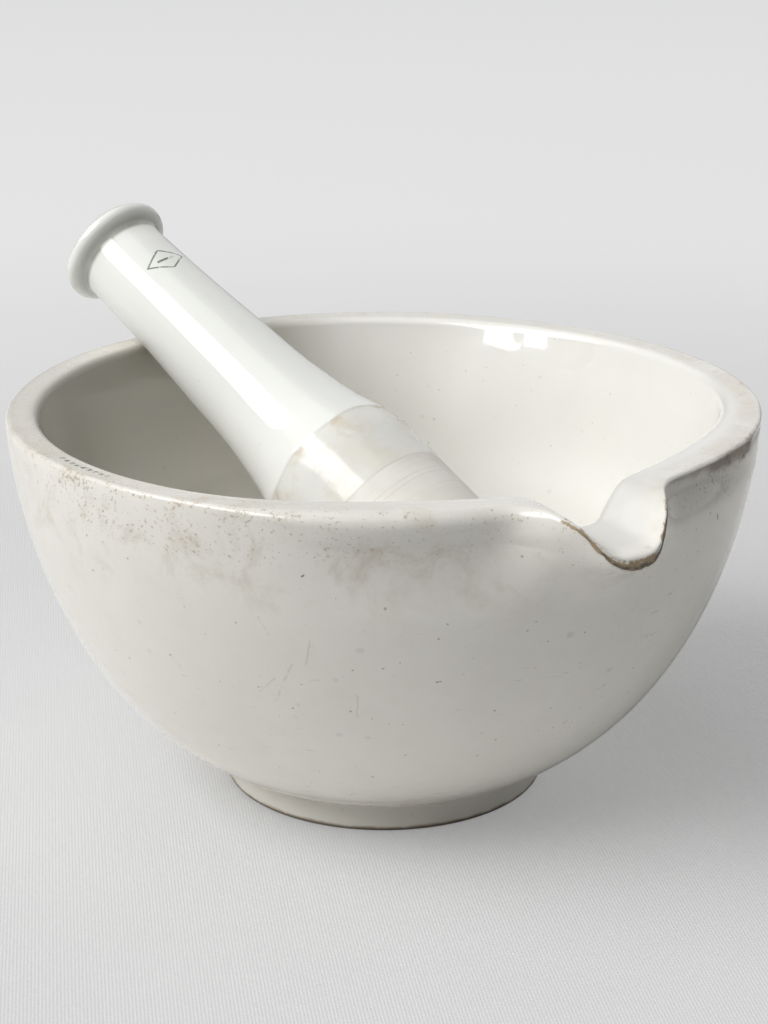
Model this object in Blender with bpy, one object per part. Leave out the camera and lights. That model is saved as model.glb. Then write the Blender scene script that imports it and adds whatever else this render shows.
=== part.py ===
"""Porcelain mortar and pestle: a footed pharmacy mortar with one pulled pouring
lip, and the loose one-piece pestle that leans in it.

Frame: +Z up, metres. The origin is the centre of the foot ring on the bench.
The pouring lip points along -Y. The pestle leans in a vertical plane through
the mortar's axis, its knob out past the rim on the +Y side and its head down
in the bowl on the lip's side.

Each piece is a section turned about Z. The mortar's lip is then pulled out of
the turned surface, ring by ring.
"""
import math
from collections import namedtuple

import bmesh
import bpy
import numpy as np
from mathutils import Matrix, Vector

# ---------------------------------------------------------------- mortar
RIM_RADIUS = 0.130          # widest radius, at the rim's outer edge
RIM_TOP = 0.1386            # height of the top of the rim, at its outer side
RIM_CORNER = 0.0029         # rounding of the rim's two edges
RIM_INNER_RADIUS = 0.1190   # radius of the bowl's mouth
RIM_TOP_FALL = 0.0003       # the top falls this much towards the bowl
RIM_INNER_TOP = RIM_TOP - RIM_TOP_FALL
RIM_EDGE_Z = RIM_TOP - RIM_CORNER                           # end of the outer wall
MOUTH = (RIM_INNER_RADIUS, RIM_INNER_TOP - RIM_CORNER)      # start of the inner wall

FOOT_RADIUS = 0.0573        # outer radius of the foot ring
FOOT_HEIGHT = 0.0093        # height of the foot ring, where the bowl starts
FOOT_WAIST = 0.0009         # hollow of the foot ring's outer side
FOOT_INNER_RADIUS = 0.0489  # inner radius of the foot ring
FOOT_EDGE = 0.0010          # bevel of the foot ring's edges
FOOT_RECESS = 0.0058        # depth of the hollow under the base

# underside and foot ring, from the axis outwards: (radius, height)
FOOT_SECTION = (
    (0.0, FOOT_RECESS),
    (FOOT_INNER_RADIUS * 0.55, FOOT_RECESS),
    (FOOT_INNER_RADIUS - 0.0022, FOOT_RECESS),
    (FOOT_INNER_RADIUS - 0.0004, FOOT_RECESS - 0.0012),
    (FOOT_INNER_RADIUS, FOOT_EDGE),
    (FOOT_INNER_RADIUS + FOOT_EDGE, 0.0),
    (FOOT_RADIUS - FOOT_EDGE, 0.0),
    (FOOT_RADIUS, FOOT_EDGE),
    (FOOT_RADIUS - FOOT_WAIST * 0.8, FOOT_HEIGHT * 0.45),
    (FOOT_RADIUS - FOOT_WAIST, FOOT_HEIGHT * 0.85),
)

BOWL_START = (FOOT_RADIUS + 0.0003, FOOT_HEIGHT)
BOWL_START_ANGLE = math.radians(24.7)   # rise of the bowl's side where it leaves the foot
BOWL_START_PULL = 0.0716    # Bezier handle at the foot
BOWL_END_PULL = 0.0109      # Bezier handle at the rim
# heights of the rings on the outer wall
BOWL_HEIGHTS = (FOOT_HEIGHT, 0.0145, 0.0215, 0.0310, 0.0430, 0.0580, 0.0740, 0.0890,
                0.1010, 0.1105, 0.1175, 0.1230, 0.1275, 0.1303, 0.1322, 0.1341,
                RIM_EDGE_Z)

CAVITY_FLOOR = 0.0228       # height of the bowl's inside bottom
CAVITY_FLOOR_PULL = 0.0676  # Bezier handle across the floor
CAVITY_WALL_HANDLE = (0.1138, 0.0494)
# points of the inner wall's curve that become rings, from the mouth to the axis
CAVITY_CURVE_POINTS = (1, 3, 6, 10, 15, 20, 26, 33, 41, 50, 60)

CURVE_STEPS = 60
MORTAR_STEPS = 80
AZIMUTH_CROWDING = 0.66     # crowds the mortar's meridians towards the lip

# ---------------------------------------------------------- pouring lip
# Pairs marked (outside, inside) blend from the first to the second over the rim.
LIP_AZIMUTH = math.radians(-90.0)   # from +X
LIP_REACH = 0.0211          # the rim's outer edge is pulled out this far
LIP_DROP = 0.0137           # and pressed down this far
LIP_WIDTH_OUT = (9.3, 8.1)  # half-width of the pull, degrees (outside, inside)
LIP_WIDTH_DOWN = (5.6, 6.2)  # half-width of the press, degrees (outside, inside)
LIP_POWER = (3.4, 2.8)      # flatness of the lip's crown (outside, inside)
LIP_ROOT_WIDENING = (4.0, 6.0)  # extra half-width at its root, degrees (outside, inside)
LIP_ROOT = (0.0936, 0.085)  # height where the lip starts (outside, inside)
LIP_SWELL_POWER = (2.2, 1.3)  # how late the lip grows up the wall (outside, inside)
# section on the lip's centre line, from the lip's outer edge to the bowl's
# wall: (radius, height)
LIP_SECTION = ((0.1511, 0.1222), (0.1514, 0.1241), (0.1505, 0.1260),
               (0.1430, 0.1266), (0.1340, 0.1277), (0.1268, 0.1279),
               (0.1229, 0.1264), (0.1200, 0.1228))

# finger marks either side of the lip
PINCH_DEPTH = (0.0058, 0.0075)      # (outside, inside)
PINCH_AZIMUTH = (20.2, 29.0)        # degrees from the lip (outside, inside)
PINCH_WIDTH = (17.5, 25.0)          # half-width, degrees (outside, inside)
PINCH_OUTER_Z = (0.092, 0.134)      # heights where the outer mark starts and is full
PINCH_INNER_Z = (0.070, 0.132)      # and the inner mark
PINCH_GROOVE = 0.0030       # the wall is pushed in this much further under the rim
PINCH_GROOVE_Z = (0.1190, 0.1318)   # foot and deepest height of that hollow

# ---------------------------------------------------------------- pestle
# Distances run along the pestle from the knob's end face.
PESTLE_LENGTH = 0.2562
PESTLE_TILT = math.radians(28.0)        # slope from knob to head, below horizontal
PESTLE_AZIMUTH = math.radians(-73.2)    # plan direction from knob to head, from +X
KNOB_CENTRE_RADIUS = 0.1440  # centre of the knob's end face from the mortar's axis
KNOB_CENTRE_Z = 0.17095

KNOB_RADIUS = 0.0219
KNOB_FACE_RADIUS = 0.0199
KNOB_FACE_DISH = 0.0009
KNOB_NECK = 0.0083          # distance of the knob's root
HANDLE_RADIUS_TOP = 0.0171
NOSE_START = 0.2262         # the nose is a half ellipse from here to the end
NOSE_RADIUS = 0.0282
NOSE_STEPS = 7
PESTLE_STEPS = 36

# knob, from the centre of its end face to the top of the handle: (radius, distance)
KNOB_SECTION = (
    (0.0, KNOB_FACE_DISH),
    (0.0085, KNOB_FACE_DISH * 0.8),
    (0.0125, 0.0),
    (KNOB_FACE_RADIUS, 0.0),
    (KNOB_RADIUS - 0.0005, 0.0010),
    (KNOB_RADIUS, 0.0026),
    (KNOB_RADIUS - 0.0006, 0.0045),
    (KNOB_RADIUS - 0.0022, 0.0058),
    (KNOB_RADIUS - 0.0036, 0.0066),
    (HANDLE_RADIUS_TOP + 0.0004, KNOB_NECK),
    (HANDLE_RADIUS_TOP, KNOB_NECK + 0.0017),
)
# handle and head, down to the nose: (radius, distance)
HANDLE_SECTION = ((0.0179, 0.0390), (0.0199, 0.0715), (0.0223, 0.1040),
                  (0.0255, 0.1235), (0.0285, 0.1345), (0.0296, 0.1430))
HEAD_SECTION = ((0.0290, 0.1625), (0.0285, 0.1885), (0.0284, 0.2150))

# -------------------------------------------------------------- finish
GLAZE_ROUGHNESS = 0.12
MORTAR_COLOUR = (0.78, 0.77, 0.74)
PESTLE_COLOUR = (0.76, 0.78, 0.75)
SHARP_ANGLE = math.radians(42)

# One ring of the mortar and what the lip does to it. `across` runs from 0 on
# the outside to 1 on the inside; `widening` adds to the lip's half-widths, degrees.
Ring = namedtuple("Ring", "radius z shift_out shift_up across widening pinch",
                  defaults=(0.0,) * 5)


def blend(pair, t):
    return pair[0] + t * (pair[1] - pair[0])


def smooth(x, low, high):
    """Ease from 0 at low to 1 at high."""
    t = min(1.0, max(0.0, (x - low) / (high - low)))
    return t * t * (3 - 2 * t)


def bezier(p0, p1, p2, p3):
    points = []
    for i in range(CURVE_STEPS + 1):
        t = i / CURVE_STEPS
        weights = ((1 - t) ** 3, 3 * (1 - t) ** 2 * t, 3 * (1 - t) * t * t, t ** 3)
        points.append(tuple(sum(w * c for w, c in zip(weights, coords))
                            for coords in zip(p0, p1, p2, p3)))
    return points


def rim_corner(centre_radius, centre_z, degrees):
    """Points of a rounded rim edge, at angles up from the outward direction."""
    return [(centre_radius + RIM_CORNER * math.cos(math.radians(angle)),
             centre_z + RIM_CORNER * math.sin(math.radians(angle)))
            for angle in degrees]


def outer_wall_rings():
    handle = (BOWL_START[0] + BOWL_START_PULL * math.cos(BOWL_START_ANGLE),
              BOWL_START[1] + BOWL_START_PULL * math.sin(BOWL_START_ANGLE))
    curve = bezier(BOWL_START, handle, (RIM_RADIUS, RIM_EDGE_Z - BOWL_END_PULL),
                   (RIM_RADIUS, RIM_EDGE_Z))
    curve_radii, curve_heights = zip(*curve)
    rings = []
    for z in BOWL_HEIGHTS:
        radius = np.interp(z, curve_heights, curve_radii)
        rise = max(0.0, (z - LIP_ROOT[0]) / (RIM_EDGE_Z - LIP_ROOT[0]))
        swell = rise ** LIP_SWELL_POWER[0]
        groove = (PINCH_GROOVE * smooth(z, *PINCH_GROOVE_Z)
                  * (1 - smooth(z, PINCH_GROOVE_Z[1], RIM_EDGE_Z)))
        rings.append(Ring(radius, z, LIP_REACH * swell, -LIP_DROP * swell,
                          across=0.0, widening=LIP_ROOT_WIDENING[0] * (1 - swell),
                          pinch=PINCH_DEPTH[0] * smooth(z, *PINCH_OUTER_Z) + groove))
    return rings


def rim_rings():
    """Two rounded edges and the nearly flat top between them."""
    outer_radius = RIM_RADIUS - RIM_CORNER
    inner_radius = RIM_INNER_RADIUS + RIM_CORNER
    points = rim_corner(outer_radius, RIM_EDGE_Z, (45, 90))
    points += [(blend((outer_radius, inner_radius), t), blend((RIM_TOP, RIM_INNER_TOP), t))
               for t in (0.25, 0.5, 0.75)]
    points += rim_corner(inner_radius, MOUTH[1], (90, 135, 180))

    lip_radii, lip_heights = zip(*LIP_SECTION)
    lip_positions = np.linspace(0.0, 1.0, len(LIP_SECTION))
    rings = []
    for i, (radius, z) in enumerate(points, start=1):
        across = i / len(points)
        rings.append(Ring(radius, z,
                          np.interp(across, lip_positions, lip_radii) - radius,
                          np.interp(across, lip_positions, lip_heights) - z,
                          across=across, pinch=blend(PINCH_DEPTH, across)))
    return rings


def inner_wall_rings():
    curve = bezier(MOUTH, CAVITY_WALL_HANDLE, (CAVITY_FLOOR_PULL, CAVITY_FLOOR),
                   (0.0, CAVITY_FLOOR))
    lip_radius, lip_z = LIP_SECTION[-1]
    rings = []
    for i in CAVITY_CURVE_POINTS:
        radius, z = curve[i]
        rise = smooth(z, LIP_ROOT[1], MOUTH[1])
        swell = rise ** LIP_SWELL_POWER[1]
        rings.append(Ring(radius, z, (lip_radius - MOUTH[0]) * swell,
                          (lip_z - MOUTH[1]) * swell,
                          across=1.0, widening=LIP_ROOT_WIDENING[1] * (1 - rise),
                          pinch=PINCH_DEPTH[1] * smooth(z, *PINCH_INNER_Z)))
    return rings


def pull_lip(bm, rings):
    """Crowd the meridians, shape the lip and pinch its sides, then face it along -Y."""
    for vert in bm.verts:
        turned_radius = math.hypot(vert.co.x, vert.co.y)
        if turned_radius < 1e-6:
            continue
        ring = min(rings, key=lambda q: abs(q.radius - turned_radius) + abs(q.z - vert.co.z))
        turn = math.atan2(vert.co.y, vert.co.x)
        turn -= AZIMUTH_CROWDING * math.sin(turn)
        off_lip = abs(math.degrees(turn))

        power = blend(LIP_POWER, ring.across)
        width_out = blend(LIP_WIDTH_OUT, ring.across) + ring.widening
        width_down = blend(LIP_WIDTH_DOWN, ring.across) + ring.widening
        pull = math.exp(-(off_lip / width_out) ** power)
        press = math.exp(-(off_lip / width_down) ** power)
        off_pinch = off_lip - blend(PINCH_AZIMUTH, ring.across)
        pinch = math.exp(-(off_pinch / blend(PINCH_WIDTH, ring.across)) ** 2)

        radius = ring.radius + ring.shift_out * pull - ring.pinch * pinch
        angle = turn + LIP_AZIMUTH
        vert.co = (radius * math.cos(angle), radius * math.sin(angle),
                   ring.z + ring.shift_up * press)


def porcelain(name, rgb):
    material = bpy.data.materials.new(name)
    material.use_nodes = True
    bsdf = material.node_tree.nodes["Principled BSDF"]
    bsdf.inputs["Base Color"].default_value = (*rgb, 1.0)
    bsdf.inputs["Roughness"].default_value = GLAZE_ROUGHNESS
    bsdf.inputs["Metallic"].default_value = 0.0
    material.diffuse_color = (*rgb, 1.0)
    return material


def spin_section(section, steps):
    """Turn a section (radius, z) once about Z and close it on the axis."""
    bm = bmesh.new()
    verts = [bm.verts.new((radius, 0.0, z)) for radius, z in section]
    edges = [bm.edges.new(pair) for pair in zip(verts, verts[1:])]
    bmesh.ops.spin(bm, geom=verts + edges, cent=(0, 0, 0), axis=(0, 0, 1),
                   angle=2 * math.pi, steps=steps, use_merge=True, use_duplicate=False)
    bmesh.ops.remove_doubles(bm, verts=bm.verts[:], dist=0.00001)
    return bm


def add_object(name, bm, material):
    bmesh.ops.recalc_face_normals(bm, faces=bm.faces[:])
    mesh = bpy.data.meshes.new(name)
    bm.to_mesh(mesh)
    bm.free()
    mesh.materials.append(material)
    mesh.shade_smooth()
    mesh.set_sharp_from_angle(angle=SHARP_ANGLE)
    obj = bpy.data.objects.new(name, mesh)
    bpy.context.scene.collection.objects.link(obj)
    return obj


def build_mortar():
    rings = [Ring(radius, z) for radius, z in FOOT_SECTION]
    rings += outer_wall_rings() + rim_rings() + inner_wall_rings()
    bm = spin_section([(ring.radius, ring.z) for ring in rings], MORTAR_STEPS)
    pull_lip(bm, rings)
    add_object("mortar", bm, porcelain("mortar_glaze", MORTAR_COLOUR))


def nose_section():
    points = []
    for i in range(NOSE_STEPS):
        angle = math.radians(90 * i / NOSE_STEPS)
        points.append((NOSE_RADIUS * math.cos(angle),
                       NOSE_START + (PESTLE_LENGTH - NOSE_START) * math.sin(angle)))
    points.append((0.0, PESTLE_LENGTH))
    return points


def pestle_placement():
    """Lay local +Z from knob to head, with the knob's end face at the origin."""
    cos_az, sin_az = math.cos(PESTLE_AZIMUTH), math.sin(PESTLE_AZIMUTH)
    along = Vector((math.cos(PESTLE_TILT) * cos_az, math.cos(PESTLE_TILT) * sin_az,
                    -math.sin(PESTLE_TILT)))
    side = Vector((sin_az, -cos_az, 0.0))
    rotation = Matrix((side, along.cross(side), along)).transposed()
    knob_centre = (-KNOB_CENTRE_RADIUS * cos_az, -KNOB_CENTRE_RADIUS * sin_az, KNOB_CENTRE_Z)
    return Matrix.Translation(knob_centre) @ rotation.to_4x4()


def build_pestle():
    section = [*KNOB_SECTION, *HANDLE_SECTION, *HEAD_SECTION, *nose_section()]
    pestle = add_object("pestle", spin_section(section, PESTLE_STEPS),
                        porcelain("pestle_glaze", PESTLE_COLOUR))
    pestle.matrix_world = pestle_placement()


def main():
    for obj in list(bpy.data.objects):
        bpy.data.objects.remove(obj, do_unlink=True)
    build_mortar()
    build_pestle()


main()
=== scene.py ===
"""Porcelain mortar and pestle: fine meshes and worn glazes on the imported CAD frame.

Metres, +Z up, the bench at z = 0. The mortar stands on the Z axis with its pouring
lip towards -Y. The pestle leans in it, its knob up at the back and a little left.
Azimuths on the mortar are degrees from the lip, positive towards +X (the right).
"""
import math
from functools import reduce
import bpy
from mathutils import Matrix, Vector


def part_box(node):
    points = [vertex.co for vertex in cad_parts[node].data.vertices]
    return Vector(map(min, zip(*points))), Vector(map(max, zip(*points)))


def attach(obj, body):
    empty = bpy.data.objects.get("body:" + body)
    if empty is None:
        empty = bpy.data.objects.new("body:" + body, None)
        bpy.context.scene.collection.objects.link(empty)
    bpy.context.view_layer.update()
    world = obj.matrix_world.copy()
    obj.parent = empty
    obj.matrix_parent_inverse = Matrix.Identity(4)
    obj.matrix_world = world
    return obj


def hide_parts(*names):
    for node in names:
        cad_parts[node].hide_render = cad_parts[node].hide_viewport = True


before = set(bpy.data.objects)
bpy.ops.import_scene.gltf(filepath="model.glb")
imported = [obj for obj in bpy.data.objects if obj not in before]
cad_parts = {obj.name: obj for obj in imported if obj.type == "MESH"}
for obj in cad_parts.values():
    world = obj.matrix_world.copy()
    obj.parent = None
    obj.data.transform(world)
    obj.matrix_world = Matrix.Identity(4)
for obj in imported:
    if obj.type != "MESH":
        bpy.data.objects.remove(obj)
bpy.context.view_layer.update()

from types import SimpleNamespace

import bpy
import numpy as np
from mathutils import Matrix, Vector

mortar_low, mortar_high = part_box("mortar")

# ------------------------------------------------------------------ sizes
RIM_RADIUS = (mortar_high[0] - mortar_low[0]) / 2
RIM_TOP = mortar_high[2]
RIM_CORNER = 0.0029
RIM_CRISP_CORNER = 0.0010
RIM_INNER_RADIUS = 0.1190
RIM_TOP_FALL = 0.0003       # the rim's top falls this much towards the inside
RIM_EDGE_Z = RIM_TOP - RIM_CORNER
RIM_INNER_TOP = RIM_TOP - RIM_TOP_FALL

FOOT_RADIUS = 0.0573
FOOT_HEIGHT = 0.0093
FOOT_WAIST = 0.0009
FOOT_INNER_RADIUS = 0.0489
FOOT_INNER_FILLET = 0.0030
FOOT_EDGE = 0.0010
FOOT_RECESS = 0.0058

BOWL_START_ANGLE = 24.7
BOWL_START_RADIUS = FOOT_RADIUS + 0.0003
BOWL_START_PULL = 0.0716
BOWL_END_PULL = 0.0109
FILLET_SAMPLES = 12         # of the wall's 400 samples, replaced by the foot's fillet

CAVITY_FLOOR = 0.0228
CAVITY_FLOOR_PULL = 0.0676
CAVITY_WALL_HANDLE = (0.1138, 0.0494)

# pairs are (at the outside, at the inside); widths and azimuths in degrees
LIP_AZIMUTH = -90.0         # in the world, from +X
LIP_REACH = 0.0215
LIP_SECTION_REACH = 0.0211  # LIP_REACH beyond this moves the section's outside out
LIP_DROP = 0.0147
LIP_WIDTH_OUT = (9.3, 8.1)
LIP_WIDTH_DOWN = (5.6, 6.2)
LIP_POWER = (3.4, 2.8)      # higher gives the lip steeper sides
LIP_ROOT = 0.0936
LIP_SWELL_POWER = 2.2
PINCH = (0.0018, 0.0075)    # the wall is pinched in on both sides of the lip
PINCH_AZIMUTH = (20.2, 29.0)
PINCH_WIDTH = (17.5, 25.0)
PINCH_Z = (0.092, 0.134)    # heights where the outer pinch starts and is full
LIP_PINCH = 0.0058          # beside the lip's own edge the outside comes in further
LIP_EXTRA_PINCH = LIP_PINCH - PINCH[0]
UNDERCUT = 0.0042           # to the right of the lip the wall is pushed in under the rim
UNDERCUT_Z = (0.1205, 0.1330)
SHOULDER_PINCH = 0.0020     # to the left there is a softer corner and a shallow hollow
SHOULDER_CORNER = 0.0047    # that ends in a crease
SHOULDER_HOLLOW = 0.0028
SHOULDER_CREASE = 0.1270
MOUTH_FOOT_Z = 0.078        # the inside wall is reshaped from this height up
MOUTH_FLARE = 0.14          # extra slope of the inside wall just under the rim
MOUTH_FLARE_Z = (0.1120, 0.1280)
MOUTH_DENT = 0.185          # more slope in one place at the back right
MOUTH_DENT_AZIMUTH = 122.0
MOUTH_DENT_WIDTH = 13.5
# radius, z over the lip in its middle, from its outside to its channel
LIP_SECTION = ((0.1511, 0.1212), (0.1515, 0.1236), (0.1505, 0.1259),
               (0.1430, 0.1266), (0.1340, 0.1277), (0.1268, 0.1279),
               (0.1229, 0.1264), (0.1200, 0.1228))

PESTLE_LENGTH = 0.2562
PESTLE_TILT = 28.0
PESTLE_AZIMUTH = -73.2      # in the world, the way the head points
KNOB_CENTRE_RADIUS = 0.1440
KNOB_CENTRE_Z = 0.17095
KNOB_RADIUS = 0.0219
KNOB_FACE_RADIUS = 0.0199
KNOB_FACE_DISH = 0.0009
KNOB_FLAT_START = 0.0145
HANDLE_RADIUS_TOP = 0.0171
HANDLE_START = 0.0125
HEAD_NOSE_START = 0.2262
HEAD_RADIUS = 0.0282
GLAZE_END = 0.1343          # the thick glaze of the handle stops here
HEAD_START = 0.1620         # and the bare grinding head starts here
GLAZE_STEP = 0.00016
HEAD_STEP = 0.00010

MORTAR_COLUMNS = 404
MORTAR_CROWDING = 0.80      # how much the columns crowd towards the lip
CORNER_ROWS = 11            # rows on each rim corner
RIM_TOP_ROWS = 14
PESTLE_COLUMNS = 160

UNDERSIDE, FOOT, OUTSIDE, RIM, INSIDE = range(5)


# ------------------------------------------------------------- mesh helpers
def bezier(p0, p1, p2, p3, t):
    t = np.asarray(t)[:, None]
    p0, p1, p2, p3 = (np.array(p, float) for p in (p0, p1, p2, p3))
    return ((1 - t) ** 3 * p0 + 3 * (1 - t) ** 2 * t * p1
            + 3 * (1 - t) * t * t * p2 + t ** 3 * p3)


def smooth(x, low, high):
    t = np.clip((np.asarray(x, float) - low) / (high - low), 0.0, 1.0)
    return t * t * (3 - 2 * t)


def between(first, second, share):
    return first * (1 - share) + second * share


def by_length(points, count):
    """count points at equal spacing along a polyline."""
    points = np.asarray(points, float)
    step = np.hypot(*np.diff(points, axis=0).T)
    length = np.concatenate([[0.0], np.cumsum(step)])
    at = np.linspace(0.0, length[-1], count)
    return np.stack([np.interp(at, length, points[:, k]) for k in (0, 1)], 1)


def spline(knots, values, at):
    """Catmull-Rom through values at the knots."""
    knots, values, at = (np.asarray(v, float) for v in (knots, values, at))
    slope = np.gradient(values, knots)
    k = np.clip(np.searchsorted(knots, at, side="right") - 1, 0, len(knots) - 2)
    gap = knots[k + 1] - knots[k]
    t = (at - knots[k]) / gap
    return ((2 * t ** 3 - 3 * t ** 2 + 1) * values[k]
            + (t ** 3 - 2 * t ** 2 + t) * gap * slope[k]
            + (3 * t ** 2 - 2 * t ** 3) * values[k + 1] + (t ** 3 - t ** 2) * gap * slope[k + 1])


def spline_points(points, at):
    """Points on the spline through a table of points; at counts table entries."""
    knots = np.arange(len(points))
    return np.stack([spline(knots, column, at) for column in np.transpose(points)], 1)


def waves(angle, height, seed, low, high, count):
    """A sum of count seeded waves, low to high of them round the axis, about -1 to 1."""
    rng = np.random.default_rng(seed)
    total = np.zeros(np.broadcast(angle, height).shape)
    for _ in range(count):
        n = int(rng.integers(low, high + 1))
        total += rng.uniform(0.5, 1.0) * np.sin(n * angle + rng.uniform(-1, 1) * n * 9.0 * height
                                                + rng.uniform(0, 2 * math.pi))
    return total / (0.75 * math.sqrt(count) * 1.4)


def tube_mesh(name, radius, angle, z, attributes, place=None):
    """A closed surface from rings of points, one ring a row; the first and last ring
    each shrink to one point on the axis. The attribute "turned" keeps where each
    point is before the piece is put in its place."""
    rings = np.stack([radius * np.cos(angle), radius * np.sin(angle), z], -1)
    rows, columns = rings.shape[:2]
    inner = rings[1:-1].reshape(-1, 3)
    verts = np.concatenate([inner, rings[0].mean(0)[None], rings[-1].mean(0)[None]])
    first, last = len(inner), len(inner) + 1
    i, j = np.meshgrid(np.arange(rows - 3), np.arange(columns), indexing="ij")
    here = i * columns + j
    beside = i * columns + (j + 1) % columns
    quads = np.stack([here, beside, beside + columns, here + columns], -1).reshape(-1, 4)
    j = np.arange(columns)
    final = (rows - 3) * columns
    start = np.stack([np.full(columns, first), (j + 1) % columns, j], -1)
    end = np.stack([final + j, final + (j + 1) % columns, np.full(columns, last)], -1)
    tris = np.concatenate([start, end])
    # faces are turned outwards: the enclosed volume has to be positive
    halves = np.concatenate([quads[:, [0, 1, 2]], quads[:, [0, 2, 3]], tris])
    p, q, r = (verts[halves[:, k]] for k in range(3))
    if np.einsum("ij,ij->i", p, np.cross(q, r)).sum() < 0:
        quads, tris = quads[:, ::-1], tris[:, ::-1]
    mesh = bpy.data.meshes.new(name)
    mesh.from_pydata(verts.tolist(), [], quads.tolist() + tris.tolist())
    for label, values in attributes.items():
        values = np.broadcast_to(values, (rows, columns))
        full = np.concatenate([values[1:-1].reshape(-1), [values[0].mean(), values[-1].mean()]])
        layer = mesh.attributes.new(label, "FLOAT", "POINT")
        layer.data.foreach_set("value", full.astype(np.float32))
    layer = mesh.attributes.new("turned", "FLOAT_VECTOR", "POINT")
    layer.data.foreach_set("vector", verts.astype(np.float32).reshape(-1))
    if place is not None:
        mesh.transform(place)
    mesh.shade_smooth()
    return add_object(name, mesh)


def add_object(name, data):
    obj = bpy.data.objects.new(name, data)
    bpy.context.scene.collection.objects.link(obj)
    return obj


# --------------------------------------------------------- mortar: profile
def bowl_wall(count):
    """The outside of the bowl as (radius, z), from the foot up to the rim's corner."""
    angle = math.radians(BOWL_START_ANGLE)
    return bezier((BOWL_START_RADIUS, FOOT_HEIGHT),
                  (BOWL_START_RADIUS + BOWL_START_PULL * math.cos(angle),
                   FOOT_HEIGHT + BOWL_START_PULL * math.sin(angle)),
                  (RIM_RADIUS, RIM_EDGE_Z - BOWL_END_PULL), (RIM_RADIUS, RIM_EDGE_Z),
                  np.linspace(0, 1, count))


def across(pair, share):
    """A value that goes from the outside's to the inside's."""
    return pair[0] + (pair[1] - pair[0]) * share


def profile_rows(points, zone, **effects):
    """Rows of the profile with what the lip and the pinching do to each."""
    columns = dict(
        out=0.0, down=0.0, width_out=9.0, width_down=6.0, power=3.0,    # the lip
        pinch=0.0, pinch_at=PINCH_AZIMUTH[0], pinch_width=PINCH_WIDTH[0],
        lip_pinch=0.0, under=0.0,
        corner=-1.0)        # angle round the rim's outer corner, -1 elsewhere
    columns.update(effects)
    points = np.array(points)
    columns.update(radius=points[:, 0], z=points[:, 1], zone=zone)
    return {key: np.broadcast_to(value, len(points)) for key, value in columns.items()}


def underside_rows():
    fillet_radius = FOOT_INNER_RADIUS - FOOT_INNER_FILLET
    points = list(by_length([(0.0, FOOT_RECESS), (fillet_radius, FOOT_RECESS)], 10))
    for b in np.radians([12, 28, 44, 60, 76, 90]):
        points.append((fillet_radius + FOOT_INNER_FILLET * math.sin(b),
                       FOOT_RECESS - 0.0028 * (1 - math.cos(b))))
    for b in np.radians(np.linspace(0, 90, 6)):
        points.append((FOOT_INNER_RADIUS + FOOT_EDGE * (1 - math.cos(b)),
                       FOOT_EDGE * (1 - math.sin(b))))
    points += list(by_length([(FOOT_INNER_RADIUS + FOOT_EDGE, 0.0),
                              (FOOT_RADIUS - FOOT_EDGE, 0.0)], 6))[1:-1]
    return profile_rows(points, UNDERSIDE)


def foot_rows(bowl_start):
    """The foot ring's outer edge, its hollow side, then the tight fillet into the bowl."""
    points = []
    for b in np.radians(np.linspace(0, 90, 7)):
        points.append((FOOT_RADIUS - FOOT_EDGE * (1 - math.sin(b)),
                       FOOT_EDGE * (1 - math.cos(b))))
    side_top = FOOT_HEIGHT - 0.0012
    side_z = np.linspace(0.0016, side_top, 11)
    rise = np.clip((side_z - FOOT_EDGE) / (side_top - FOOT_EDGE), 0, 1)
    side_radius = FOOT_RADIUS - FOOT_WAIST * np.sin(rise * math.pi * 0.62) ** 1.2
    points += list(zip(side_radius, side_z))
    side_end = points[-1]
    fillet = bezier(side_end, (side_end[0] + 0.0002, FOOT_HEIGHT - 0.0003),
                    (BOWL_START_RADIUS + 0.0001, FOOT_HEIGHT - 0.0001), bowl_start,
                    np.linspace(0, 1, 9))[1:-1]
    return profile_rows(points + list(fillet), FOOT)


def outside_rows(wall):
    """The bowl's outside, with rows closer together towards the rim."""
    coarse, fine = by_length(wall, 200), by_length(wall, 330)
    z = coarse[:, 1]
    points = np.concatenate([coarse[z < 0.0885][::3],
                             coarse[(z >= 0.0885) & (z < 0.1170)][::2],
                             coarse[(z >= 0.1170) & (z < 0.1270)],
                             fine[fine[:, 1] >= 0.1270]])
    z = points[:, 1]
    swell = np.clip((z - LIP_ROOT) / (RIM_EDGE_Z - LIP_ROOT), 0, None) ** LIP_SWELL_POWER
    return profile_rows(points, OUTSIDE, out=LIP_REACH * swell, down=-LIP_DROP * swell,
                        width_out=LIP_WIDTH_OUT[0] + 4.0 * (1 - swell),
                        width_down=LIP_WIDTH_DOWN[0] + 4.0 * (1 - swell), power=LIP_POWER[0],
                        pinch=PINCH[0] * smooth(z, *PINCH_Z), under=smooth(z, *UNDERCUT_Z),
                        lip_pinch=LIP_EXTRA_PINCH * smooth(z, *PINCH_Z))


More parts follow.
